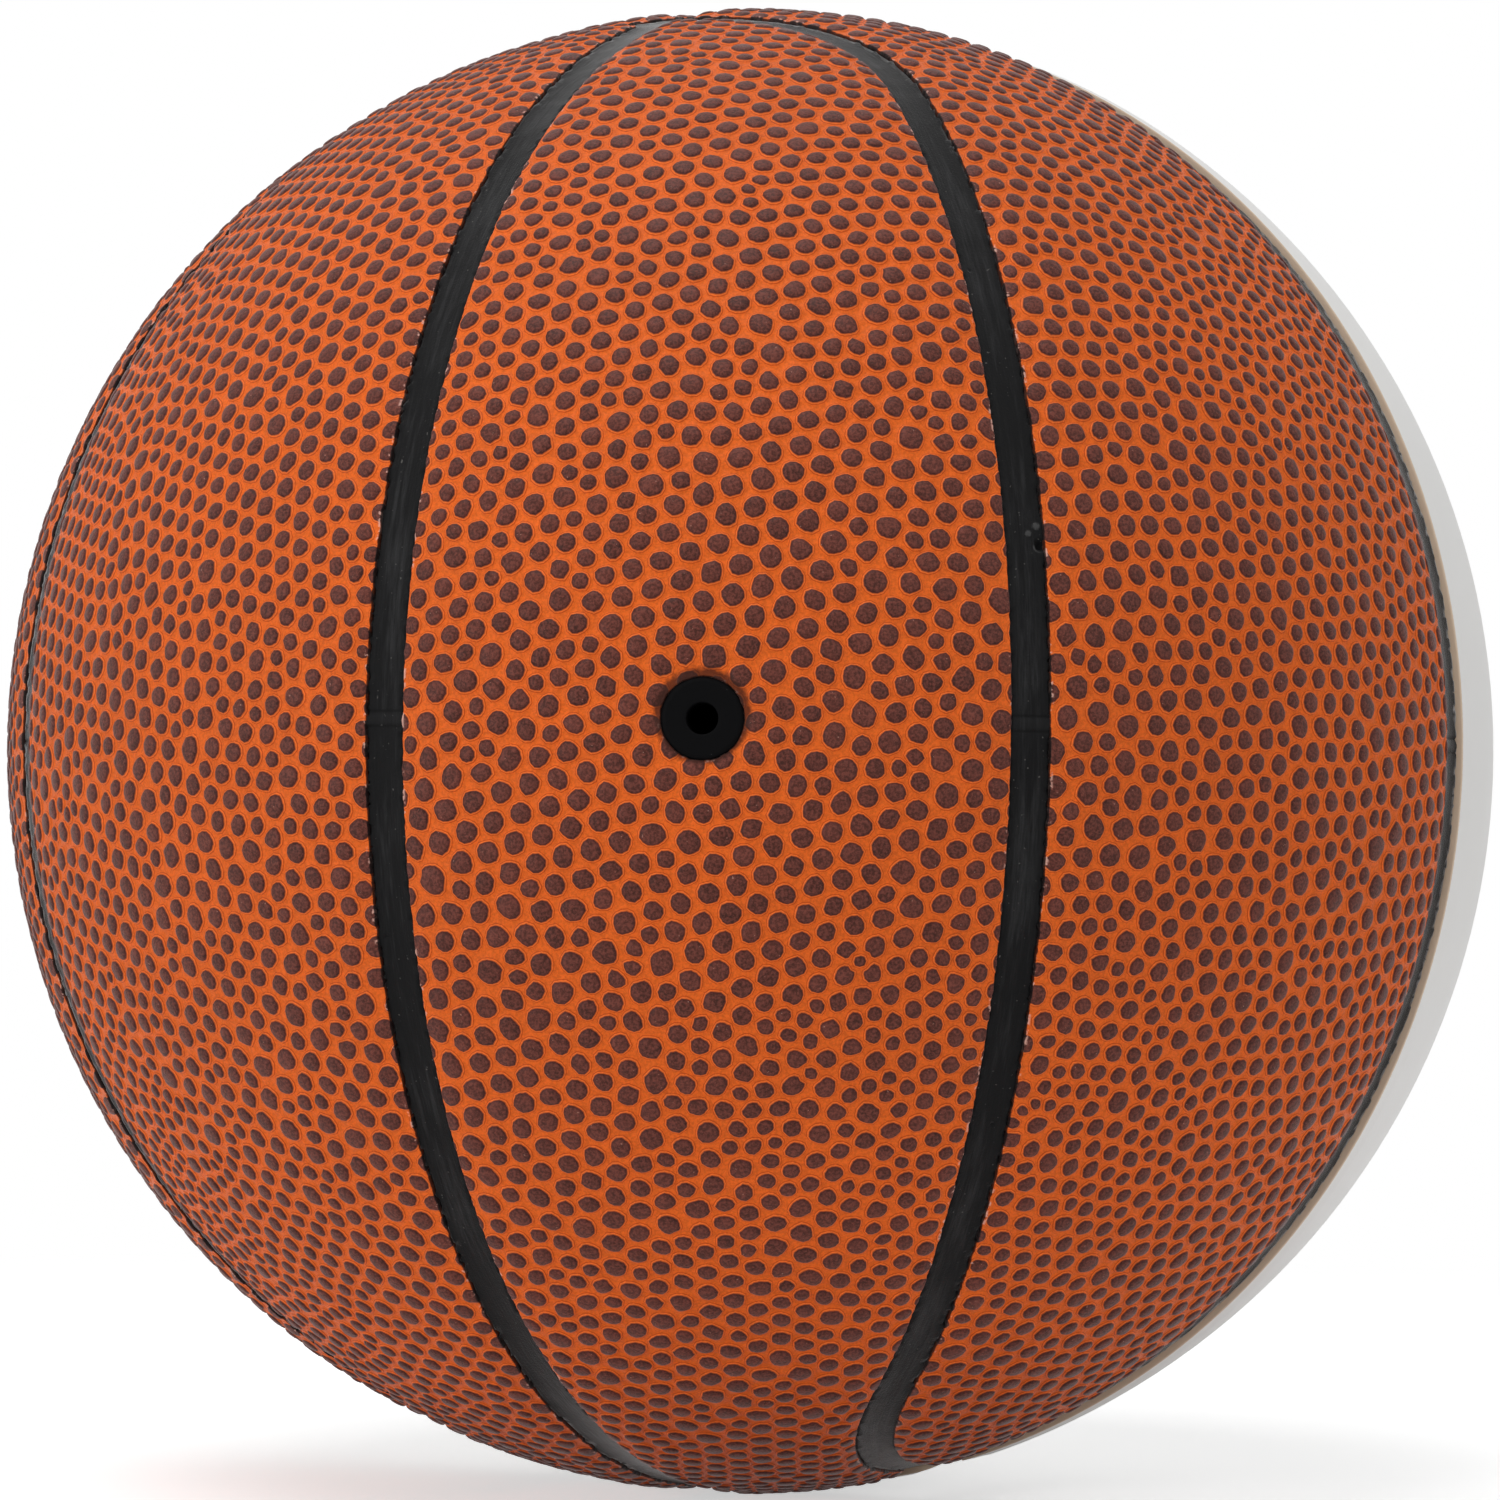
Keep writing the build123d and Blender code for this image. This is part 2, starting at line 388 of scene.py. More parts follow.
def smooth_cover_finish(colours):
    """White cover with a faint grain and a thin tan line along its cut edges, a painted warm reflection.
    """
    finish = Finish(bpy.data.materials.new("smooth_cover"))
    edge = finish.attribute("edge")
    place = finish.place()
    broad = finish.grain(place, 45, 3.0)
    fine = finish.grain(place, 2600, 3.0, 0.6)
    pores = finish.add("ShaderNodeTexVoronoi", {"feature": "F1"}, {"Vector": place, "Scale": 1500})
    clean = finish.shaded(colours.smooth_white, 0.94 + broad * 0.07 + fine * 0.04)
    # Painted reflection: a thin warm tan line along the panel's edge.
    rim = 1 - finish.ease(edge + (fine - 0.5) * 0.3, 0.15, 0.4)
    coloured = finish.blend(clean, colours.edge_reflection_tan, rim * 0.8)
    normal = finish.bump(fine * 0.7 + pores * 0.5, 0.22, 0.00006)
    return finish.surface({
        "Base Color": coloured, "Roughness": 0.42 + fine * 0.12, "Normal": normal,
        "Specular IOR Level": 0.3})


def rib_rubber_finish(colours):
    """Black rubber with streaks along the ribs, rubbed wear and painted sheen in grey along their middle,
    painted highlights on raised marks, and the mould's parting line with painted shade in its creases and
    a painted highlight on its raised band.
    """
    finish = Finish(bpy.data.materials.new("rib_rubber"))
    across = finish.attribute("across")
    edge = finish.attribute("edge")
    raised_mark = finish.attribute("raised_mark")
    place = finish.place()

    def streaks(scale, per_millimetre, detail):
        """Noise that is drawn out along the ribs."""
        sockets = {
            "Vector": place, "W": across * (per_millimetre / scale), "Scale": scale, "Detail": detail,
            "Roughness": 0.6}
        return finish.add("ShaderNodeTexNoise", {"noise_dimensions": "4D"}, sockets)

    long_streaks = streaks(130, 1.6, 2.0)
    short_streaks = streaks(420, 5.0, 3.0)
    fine = finish.grain(place, 3800, 3.0, 0.65)
    broad = finish.grain(place, 70)
    middle = finish.ease(edge, 0.3, 1.5)
    # Streaks of wear and painted sheen, grey mostly along the middle of the ribs.
    streak_wear_and_sheen = finish.ease(long_streaks * 0.55 + short_streaks * 0.3 + broad * 0.5, 0.6, 0.95)
    middle_wear_and_sheen = streak_wear_and_sheen * (0.12 + middle * 0.88)
    coloured = finish.blend(colours.rib_black, colours.rib_grey_wear_and_sheen, middle_wear_and_sheen)
    coloured = finish.shaded(coloured, 0.2 + fine * 0.8 + short_streaks * 0.8)
    specks = finish.ease(finish.grain(place, 2300, 1.0), 0.73, 0.8)
    coloured = finish.blend(coloured, screen_colour(128, 126, 122), specks * 0.35)
    # Painted highlight: the raised marks on the ribs get a lighter grey.
    raised_mark_highlight = finish.ease(raised_mark * 0.7 + fine * 0.8, 0.5, 0.95) * finish.ease(raised_mark, 0.02, 0.3)
    coloured = finish.blend(coloured, screen_colour(70, 70, 70), raised_mark_highlight * 0.8)
    height = finish.add("ShaderNodeSeparateXYZ", None, {"Vector": place}, output="Z")
    from_parting = abs(height * (1 / MM))
    # Painted highlight: a lighter band along the mould line's raised middle.
    parting_band_highlight = 1 - finish.ease(from_parting + (short_streaks - 0.5) * 0.5, 0.35, 0.75)
    # Painted shade: dark lines in the mould line's two creases.
    crease = 1 - finish.ease(abs(from_parting - 0.8) + (fine - 0.5) * 0.12, 0.05, 0.24)
    coloured = finish.blend(coloured, colours.rib_grey_wear_and_sheen, parting_band_highlight * 0.18)
    coloured = finish.blend(coloured, (0.0012, 0.0012, 0.0013), crease * 0.8)
    roughness = 0.6 - middle_wear_and_sheen * 0.12 + fine * 0.12
    normal = finish.bump(fine * 0.7 + short_streaks * 0.8, 0.55, 0.0001)
    return finish.surface({
        "Base Color": coloured, "Roughness": roughness, "Normal": normal, "Specular IOR Level": 0.1,
        "Sheen Weight": 0.6, "Sheen Roughness": 0.32})


def plain_rubber_finish(name, base):
    """Moulded rubber with a fine mottle and a few pale specks."""
    finish = Finish(bpy.data.materials.new(name))
    place = finish.place()
    fine = finish.grain(place, 2400, 3.0, 0.6)
    broad = finish.grain(place, 300)
    coloured = finish.shaded(base, 0.7 + fine * 0.35 + broad * 0.25)
    specks = finish.ease(finish.grain(place, 2600, 1.0), 0.75, 0.8)
    coloured = finish.blend(coloured, screen_colour(120, 118, 116), specks * 0.3)
    normal = finish.bump(fine, 0.35, 0.00005)
    return finish.surface({
        "Base Color": coloured, "Roughness": 0.62 + fine * 0.15, "Normal": normal,
        "Specular IOR Level": 0.05})


def thread_winding_finish(colours):
    """Ivory threads wound in crossing layers."""
    finish = Finish(bpy.data.materials.new("thread_winding"))
    place = finish.place()
    layers = []
    for turn in ((0.0, 0.0, 0.4), (1.1, 0.3, 1.5), (0.4, 1.2, 2.6)):
        turned = finish.add("ShaderNodeMapping", None, {"Vector": place, "Rotation": turn})
        layers.append(finish.add(
            "ShaderNodeTexWave", {"wave_type": "BANDS", "bands_direction": "Z"},
            {"Vector": turned, "Scale": 620, "Distortion": 0.6, "Detail": 1.0}))
    strands = (layers[0] + layers[1] + layers[2]) * (1 / 3)
    coloured = finish.shaded(colours.thread_ivory, 0.55 + strands * 0.5)
    normal = finish.bump(strands, 0.6, 0.0002)
    return finish.surface({"Base Color": coloured, "Roughness": 0.55 + strands * 0.2, "Normal": normal})


def square_corner(first, second, radius):
    """Distance inside two walls at right angles whose corner is rounded."""
    nearest = np.minimum(first, second)
    rounded = radius - np.hypot(np.maximum(radius - first, 0), np.maximum(radius - second, 0))
    return np.where(nearest < radius, rounded, nearest)


def slanted_corner(first, second, radius, between):
    """Distance inside two walls whose normals stand at an angle and whose corner is rounded."""
    half = between / 2
    forward = (first + second) / (2 * math.cos(half))
    sideways = np.abs(first - second) / (2 * math.sin(half))
    back = radius / math.cos(half) - forward
    on_arc = np.arctan2(sideways, back) < half
    return np.where(on_arc, radius - np.hypot(back, sideways), np.minimum(first, second))


def swapped(points):
    """Half a turn about the axis midway between the two straight seams."""
    return points[:, (1, 0, 2)] * (1, 1, -1)


def wave_side(points, sizes, gap):
    """Distance to the inner side of the wavy seam near the top of the first panel."""
    x, y, z = points.T
    tilt = sizes.crossing_from_pole
    meridian = (x - y) * math.sqrt(0.5) - gap / 2
    cross_run = x * math.cos(tilt) - z * math.sin(tilt) - gap / 2
    between = math.acos(math.cos(tilt) * math.sqrt(0.5))
    return slanted_corner(meridian, cross_run, sizes.seam_turn_radius - gap / 2, between)


def wave_distance(points, sizes, gap):
    """Distance to the first panel's side of the wavy seam, over its whole length."""
    upper = wave_side(points, sizes, gap)
    lower = -wave_side(swapped(points), sizes, -gap)
    return np.where(points[:, 2] > 0, upper, lower)


def panel_depth(points, sizes):
    """How far inside the first panel's outline points lie, in the panels' layout."""
    gap = sizes.seam_width
    straight = square_corner(points[:, 0] - gap / 2, points[:, 1] - gap / 2, sizes.panel_corner_radius)
    return square_corner(straight, wave_distance(points, sizes, gap), sizes.panel_corner_radius)


def layout_turn(sizes):
    """The turn about Z that brings the valve to -Y."""
    return Matrix.Rotation(-math.pi / 2 - sizes.valve_from_seam, 4, "Z")


def panel_matrix(sizes, swap, sign_x, sign_y):
    """Where a copy of the first panel stands on the ball."""
    flip = Matrix(((0, 1, 0, 0), (1, 0, 0, 0), (0, 0, -1, 0), (0, 0, 0, 1)))
    mirror = Matrix.Diagonal((sign_x, sign_y, 1, 1))
    return layout_turn(sizes) @ mirror @ (flip if swap else Matrix.Identity(4))


def laid_out(points, sizes):
    """Points of the ball, turned back to the first panel's layout, and folded onto that panel."""
    flat = points @ np.array(layout_turn(sizes).to_3x3())
    return flat, np.abs(flat) * (1, 1, 0) + flat * (0, 0, 1)


def rib_depth(points, sizes):
    """How far inside the seam ribs points lie, with the ball in place."""
    folded = laid_out(points, sizes)[1]
    return -np.maximum(panel_depth(folded, sizes), panel_depth(swapped(folded), sizes))


def seam_offset(points, sizes):
    """Signed distance to the nearest seam's middle, with the ball in place."""
    flat, folded = laid_out(points, sizes)
    choices = np.stack((flat[:, 1], flat[:, 0], wave_distance(folded, sizes, 0)))
    nearest = np.argmin(np.abs(choices), axis=0)
    return np.take_along_axis(choices, nearest[None], 0)[0]


def valve_distance(points, axis):
    """Distance of points from the valve axis, large on the far side of the ball."""
    along = points @ np.array(axis)
    off_axis = np.linalg.norm(points - np.outer(along, axis), axis=1)
    return np.where(along > 0, off_axis, 1)


def noise_at(points, size, shift=0.0):
    """Smooth noise between -1 and 1 with features of a size."""
    shifted = Vector((shift, shift, shift))
    return np.array([noise.noise(Vector(point) / size + shifted) for point in points])


def smooth_step(value):
    """0 below 0, 1 above 1 and smooth between them."""
    inside = np.clip(value, 0, 1)
    return inside * inside * (3 - 2 * inside)


def coordinates(bm):
    bm.verts.index_update()
    return np.array([vert.co[:] for vert in bm.verts])


def move_to(bm, points):
    for vert, point in zip(bm.verts, points):
        vert.co = point


def push_to_radius(bm, radius):
    points = coordinates(bm)
    reach = np.linalg.norm(points, axis=1)
    move_to(bm, points * (radius / reach)[:, None])


def write_layer(bm, name, values):
    """Store one value for each vertex, for the materials."""
    layer = bm.verts.layers.float.new(name)
    for vert, value in zip(bm.verts, values):
        vert[layer] = value


def triangulate_all(bm):
    bmesh.ops.triangulate(bm, faces=[face for face in bm.faces if len(face.verts) > 3])


def split_along(bm, field, level):
    """Cut the faces along a level line of a field, through points that already lie next to it."""
    values = field(coordinates(bm)) - level
    values[np.abs(values) < SNAP] = 0
    near = [face for face in bm.faces if len(face.verts) > 3
            and min(values[v.index] for v in face.verts) < 0 < max(values[v.index] for v in face.verts)]
    bmesh.ops.triangulate(bm, faces=near)
    shares = {}
    for edge in bm.edges:
        first = values[edge.verts[0].index]
        second = values[edge.verts[1].index]
        if first * second < 0:
            shares[edge] = first / (first - second)
    made = bmesh.ops.bisect_edges(bm, edges=list(shares), cuts=1, edge_percents=shares)
    fresh = set(made["geom_split"])
    values = np.abs(field(coordinates(bm)) - level)
    on_line = [vert for vert in bm.verts if vert in fresh or values[vert.index] < SNAP]
    bmesh.ops.connect_verts(bm, verts=on_line)


def drop_outside(bm, field, level):
    """Delete the faces that lie below a level of a field, after a cut along it."""
    values = field(coordinates(bm)) - level
    outside = [face for face in bm.faces if sum(values[vert.index] for vert in face.verts) < 0]
    bmesh.ops.delete(bm, geom=outside, context="FACES")


def ball_mesh(radius, cuts):
    """An even triangle mesh of a ball."""
    bm = bmesh.new()
    bmesh.ops.create_icosphere(bm, subdivisions=3, radius=radius)
    bmesh.ops.subdivide_edges(bm, edges=bm.edges[:], cuts=cuts, use_grid_fill=True)
    push_to_radius(bm, radius)
    return bm


def refine_where(bm, chosen, radius):
    """Halve the edges that touch the chosen points."""
    wanted = [edge for edge in bm.edges if chosen[edge.verts[0].index] or chosen[edge.verts[1].index]]
    bmesh.ops.subdivide_edges(bm, edges=wanted, cuts=1, use_grid_fill=True)
    triangulate_all(bm)
    push_to_radius(bm, radius)


def edge_roll(depth, radius):
    """How far a rounded edge has dropped at a depth inside it."""
    inside = np.clip(radius - depth, 0, radius)
    return radius - np.sqrt(np.maximum(radius ** 2 - inside ** 2, 0))


def panel_drop(depth, sizes):
    """How far a panel's face lies under the ball's surface at a depth inside its outline."""
    inside = np.maximum(depth, 0)
    dip = sizes.edge_dip * (1 - smooth_step(inside / sizes.edge_dip_reach))
    return dip + edge_roll(inside, sizes.panel_edge_round)


def edge_stray(points, field, sizes, shift):
    """How far each point near a cut edge strays, so that the edge isn't a perfect line."""
    step = 0.01 * MM
    reach = 0.6 * MM
    depth = field(points)
    slope = np.stack([field(points + np.eye(3)[axis] * step) - depth for axis in range(3)], axis=1) / step
    fades = 1 - smooth_step(depth / reach)
    amount = np.zeros(len(points))
    near = fades > 0
    amount[near] = noise_at(points[near], reach, shift) * fades[near] * sizes.edge_wobble
    return slope * amount[:, None]


def open_loops(bm):
    """The open edges of a mesh, one list for each loop, in the same order each run."""
    left = dict.fromkeys(edge for edge in bm.edges if edge.is_boundary)
    loops = []
    while left:
        loop = []
        waiting = [left.popitem()[0]]
        while waiting:
            edge = waiting.pop()
            loop.append(edge)
            for vert in edge.verts:
                for other in vert.link_edges:
                    if other in left:
                        del left[other]
                        waiting.append(other)
        loops.append(loop)
    return loops


def clear_scraps(bm):
    """After a cut, delete loose scraps and close pinholes beside the outline."""
    for loop in open_loops(bm):
        if len(loop) > SCRAP_EDGES:
            continue
        patch = set(loop[0].link_faces)
        waiting = list(patch)
        while waiting and len(patch) < SCRAP_FACES:
            face = waiting.pop()
            around = {other for edge in face.edges for other in edge.link_faces} - patch
            patch |= around
            waiting += around
        if waiting:
            bmesh.ops.holes_fill(bm, edges=loop, sides=0)
        else:
            bmesh.ops.delete(bm, geom=[face for face in bm.faces if face in patch], context="FACES")


def add_underside(bm, field, radius):
    """Close a shell with a plain inner side and a wall between the two outlines."""
    rim = [edge for edge in bm.edges if edge.is_boundary]
    foot = radius + 0.15 * MM
    below = {}
    for vert in dict.fromkeys(vert for edge in rim for vert in edge.verts):
        below[vert] = bm.verts.new(vert.co.normalized() * foot, vert)
    for edge in rim:
        loop = edge.link_loops[0]
        first = loop.link_loop_next.vert
        second = loop.vert
        bm.faces.new((first, second, below[second], below[first]), loop.face)
    outer_loops = open_loops(bm)
    inner = ball_mesh(radius, BALL_CUTS)
    split_along(inner, field, 0)
    drop_outside(inner, field, 0)
    clear_scraps(inner)
    bmesh.ops.reverse_faces(inner, faces=inner.faces[:])
    mesh = bpy.data.meshes.new("underside")
    inner.to_mesh(mesh)
    inner.free()
    bm.from_mesh(mesh)
    bpy.data.meshes.remove(mesh)
    known = {edge for loop in outer_loops for edge in loop}
    inner_loops = [loop for loop in open_loops(bm) if loop[0] not in known]
    if len(inner_loops) != len(outer_loops):
        raise RuntimeError("a shell's two sides have different outlines")
    outer_loops.sort(key=len)
    inner_loops.sort(key=len)
    for outer, inner_loop in zip(outer_loops, inner_loops):
        bmesh.ops.bridge_loops(bm, edges=outer + inner_loop)


def add_piece(name, bm, material, body, node):
    """Make an object of a finished mesh, attach it to its body and hide the CAD node whose place it
    takes.
    """
    mesh = bpy.data.meshes.new(name)
    bm.to_mesh(mesh)
    bm.free()
    mesh.shade_smooth()
    mesh.materials.append(material)
    piece = bpy.data.objects.new(name, mesh)
    bpy.context.scene.collection.objects.link(piece)
    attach(piece, body)
    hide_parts(node)
    return piece


def even_out(bm, sites):
    """Join neighbouring sites and move each to the middle of the space around it."""
    inner_edges = [edge for edge in bm.edges if not edge.is_boundary]
    bmesh.ops.beautify_fill(bm, faces=bm.faces[:], edges=inner_edges, method="ANGLE")
    middles = {}
    for face in bm.faces:
        middles[face] = (face.calc_center_median(), face.calc_area())
    moved = []
    for site in sites:
        around = [middles[face] for face in site.link_faces]
        total = sum(area for middle, area in around)
        moved.append(sum((middle * area for middle, area in around), Vector()) / total)
    for site, place in zip(sites, moved):
        site.co = place


def disturb_sites(bm, rng, radius):
    """Make even sites uneven, as on a moulded cover: a few missing, a few added, all shifted."""
    inner = [vert for vert in bm.verts if not vert.is_boundary]
    taken = set()
    missing = []
    for vert in rng.sample(inner, len(inner) // MISSING_SITES):
        around = {vert} | {edge.other_vert(vert) for edge in vert.link_edges}
        if not around & taken:
            missing.append(vert)
            taken |= around
    bmesh.ops.dissolve_verts(bm, verts=missing)
    triangulate_all(bm)
    inner_edges = [edge for edge in bm.edges if not edge.is_boundary]
    bmesh.ops.subdivide_edges(bm, edges=rng.sample(inner_edges, len(inner_edges) // ADDED_SITES), cuts=1)
    triangulate_all(bm)
    inner = [vert for vert in bm.verts if not vert.is_boundary]
    for shift, rounds in SITE_ROUNDS:
        for vert in inner:
            vert.co += shift * MM * Vector((rng.uniform(-1, 1), rng.uniform(-1, 1), rng.uniform(-1, 1)))
        push_to_radius(bm, radius)
        for step in range(rounds):
            even_out(bm, inner)
            push_to_radius(bm, radius)


def shape_outlines(tops, middles, rng, corner_limit):
    """Round each pebble's outline, draw it out and give it three or four soft sides."""
    for top in tops:
        centre = top.calc_center_median()
        offsets = [vert.co - centre for vert in top.verts]
        mean = sum(offset.length for offset in offsets) / len(offsets)
        roundness = rng.uniform(0.65, 1.1)
        size = rng.uniform(0.97, 1.04)
        longer = rng.uniform(0.0, 0.11)
        sided = rng.uniform(0.0, 0.07)
        sides = rng.choice((3, 4))
        aside = Vector((rng.uniform(-1, 1), rng.uniform(-1, 1), rng.uniform(-1, 1)))
        axis = aside.cross(centre).normalized()
        across = centre.normalized().cross(axis)
        for vert, offset in zip(top.verts, offsets):
            direction = offset.normalized()
            turn = math.atan2(direction.dot(across), direction.dot(axis))
            reach = offset.length + (mean - offset.length) * roundness
            reach *= size * (1 + longer * math.cos(2 * turn) + sided * math.cos(sides * turn + 1))
            limit = 1.2 if vert in middles else corner_limit
            vert.co = centre + direction * min(reach, offset.length * limit)


def raise_pebbles(bm, sites, sizes, rng, valley_radius):
    """Make a pebble with a soft domed top of every site."""
    made = bmesh.ops.bevel(
        bm, geom=sites, offset=sizes.pebble_spread * 100, offset_type="PERCENT", affect="VERTICES",
        segments=1, profile=0.5, material=-1)
    tops = made["faces"]
    rims = dict.fromkeys(edge for top in tops for edge in top.edges)
    made = bmesh.ops.bisect_edges(bm, edges=list(rims), cuts=1)
    middles = set(made["geom_split"])
    shape_outlines(tops, middles, rng, 0.496 / sizes.pebble_spread)
    push_to_radius(bm, valley_radius)
    cap = bm.verts.layers.float.new("cap")
    tone = bm.verts.layers.float.new("tone")
    tones = [rng.random() for top in tops]
    heights = [sizes.pebble_height * rng.uniform(0.85, 1.0) for top in tops]
    for inset, rise, ink in PEBBLE_RINGS:
        bmesh.ops.inset_individual(bm, faces=tops, thickness=0)
        for top, height, shade in zip(tops, heights, tones):
            centre = top.calc_center_median()
            reach = sum((vert.co - centre).length for vert in top.verts) / len(top.verts)
            scale = max(1 - inset * MM / reach, 0.3)
            for vert in top.verts:
                inwards = centre + (vert.co - centre) * scale
                vert.co = inwards.normalized() * (valley_radius + height * rise)
                vert[cap] = ink
                vert[tone] = shade
    made = bmesh.ops.poke(bm, faces=tops)
    for vert, height, shade in zip(made["verts"], heights, tones):
        vert.co = vert.co.normalized() * (valley_radius + height)
        vert[cap] = 1
        vert[tone] = shade


def pebbled_panel(sizes, rng, has_valve):
    """One pebbled cover panel, before it is turned into place."""
    valve_axis = (math.cos(sizes.valve_from_seam), math.sin(sizes.valve_from_seam), 0)
    valley_radius = sizes.ball_radius - sizes.pebble_height

    def hole(points):
        return valve_distance(points, valve_axis) - sizes.valve_hole_radius

    def inside(points):
        depth = panel_depth(points, sizes)
        return np.minimum(depth, hole(points)) if has_valve else depth

    bm = bmesh.new()
    bmesh.ops.create_icosphere(bm, subdivisions=3, radius=valley_radius)
    turn = Matrix.Rotation(rng.uniform(0, math.pi), 3, Vector((rng.random(), rng.random(), rng.random())))
    bmesh.ops.rotate(bm, verts=bm.verts[:], matrix=turn)
    bmesh.ops.subdivide_edges(bm, edges=bm.edges[:], cuts=BALL_CUTS, use_grid_fill=True)
    push_to_radius(bm, valley_radius)
    margin = 9 * MM
    far = panel_depth(coordinates(bm), sizes) < -margin
    bmesh.ops.delete(bm, geom=[vert for vert in bm.verts if far[vert.index]], context="VERTS")
    disturb_sites(bm, rng, valley_radius)
    sites = [vert for vert in bm.verts if not vert.is_boundary]
    raise_pebbles(bm, sites, sizes, rng, valley_radius)
    split_along(bm, inside, 0)
    drop_outside(bm, inside, 0)
    clear_scraps(bm)
    for level in PEBBLED_EDGE_ROWS:
        split_along(bm, inside, level * MM)
    points = coordinates(bm)
    reach = np.linalg.norm(points, axis=1)
    depth = inside(points)
    from_hole = hole(points) if has_valve else np.full(len(points), FURTHEST * MM)
    write_layer(bm, "edge", np.minimum(depth / MM, FURTHEST))
    write_layer(bm, "hole", np.minimum(from_hole / MM, FURTHEST))
    raised = 0.35 + 0.65 * smooth_step(depth / (1.2 * MM))
    height = (reach - valley_radius) * raised - panel_drop(depth, sizes)
    points += edge_stray(points, inside, sizes, rng.uniform(0, 50))
    move_to(bm, points * ((valley_radius + height) / reach)[:, None])
    add_underside(bm, inside, sizes.panel_inner_radius)
    return bm


def smooth_panel(sizes):
    """One smooth cover panel, before it is turned into place."""
    radius = sizes.ball_radius

    def inside(points):
        return panel_depth(points, sizes)

    bm = ball_mesh(radius, BALL_CUTS)
    margin = 6 * MM
    far = inside(coordinates(bm)) < -margin
    bmesh.ops.delete(bm, geom=[vert for vert in bm.verts if far[vert.index]], context="VERTS")
    refine_where(bm, np.abs(inside(coordinates(bm))) < 4 * MM, radius)
    split_along(bm, inside, 0)
    drop_outside(bm, inside, 0)
    for level in SMOOTH_EDGE_ROWS:
        split_along(bm, inside, level * MM)
    points = coordinates(bm)
    depth = inside(points)
    write_layer(bm, "edge", np.minimum(depth / MM, FURTHEST))
    move_to(bm, points * (1 - panel_drop(depth, sizes) / radius)[:, None])
    add_underside(bm, inside, sizes.panel_inner_radius)
    return bm


def add_panels(sizes, kind, material, build):
    """Build the panels of one kind, each in its place with its faces pointing outwards."""
    for number, (node, swap, sign_x, sign_y) in enumerate(PANEL_COPIES):
        if not node.startswith(kind):
            continue
        bm = build(number, node)
        matrix = panel_matrix(sizes, swap, sign_x, sign_y)
        bmesh.ops.transform(bm, matrix=matrix, verts=bm.verts[:])
        if matrix.determinant() < 0:
            bmesh.ops.reverse_faces(bm, faces=bm.faces[:])
        add_piece(node.replace("panel", "cover"), bm, material, "ball", node)


def rib_mark_places(sizes):
    """The moulding marks as points on the ribs, with their radius and height."""
    for longitude, latitude, radius, height in RIB_MARKS:
        turn = math.radians(longitude)
        rise = math.radians(latitude)
        out = (math.sin(turn) * math.cos(rise), -math.cos(turn) * math.cos(rise), math.sin(rise))
        yield np.array(out) * sizes.rib_edge_radius, radius * MM, height * MM


def ribbed_carcass(sizes):
    """The rubber shell, fine where its ribs show between the panels."""
    crown = sizes.rib_edge_radius
    half_width = sizes.seam_width / 2
    tuck = 0.12 * MM
    crease = sizes.parting_half_width
    marks = list(rib_mark_places(sizes))

    def ribs(points):
        return rib_depth(points, sizes)

    def hole(points):
        return valve_distance(points, (0, -1, 0)) - sizes.collar_hole_radius

    def height_on_ribs(points):
        return np.where(ribs(points) > -tuck, points[:, 2], np.copysign(1, points[:, 2]))

    bm = ball_mesh(crown, 4)
    for reach in (4.0, 1.2):
        refine_where(bm, ribs(coordinates(bm)) > -reach * MM, crown)
    for reach in (1.8, 1.5, 1.3):
        points = coordinates(bm)
        near = [np.linalg.norm(points - place, axis=1) < size * reach for place, size, height in marks]
        refine_where(bm, np.any(near, axis=0), crown)
    for level in (-tuck - 0.02 * MM, -tuck, 0.3 * MM, 0.9 * MM, 1.6 * MM):
        split_along(bm, ribs, level)
    for level in (0.6, 0.85, 1.0, 1.15, 1.45):
        split_along(bm, height_on_ribs, level * crease)
        split_along(bm, height_on_ribs, -level * crease)
    split_along(bm, hole, 0)
    drop_outside(bm, hole, 0)
    points = coordinates(bm)
    depth = ribs(points)
    towards_edge = 1 - np.clip(depth / half_width, 0, 1)
    radius = sizes.rib_middle_radius + (crown - sizes.rib_middle_radius) * towards_edge ** 2
    from_parting = np.abs(points[:, 2]) / crease
    radius += sizes.parting_height * (1 - smooth_step((from_parting - 0.6) / 0.3))
    radius -= sizes.parting_height * np.exp(-((from_parting - 1) / 0.13) ** 2)
    radius += noise_at(points, 2.2 * MM) * 0.04 * MM + noise_at(points, 0.8 * MM) * 0.02 * MM
    raised_mark = np.zeros(len(points))
    for place, size, height in marks:
        mark = 1 - smooth_step(np.linalg.norm(points - place, axis=1) / size)
        radius += height * mark
        raised_mark += mark * np.sign(height)
    radius = np.where(depth > -tuck - 0.01 * MM, radius, sizes.seat_radius)
    write_layer(bm, "edge", depth / MM)
    write_layer(bm, "across", seam_offset(points, sizes) / MM)
    # Where the raised marks stand, for their painted highlight.
    write_layer(bm, "raised_mark", np.maximum(raised_mark, 0))
    move_to(bm, points / np.linalg.norm(points, axis=1)[:, None] * radius[:, None])
    add_underside(bm, hole, sizes.carcass_inner_radius)
    return bm


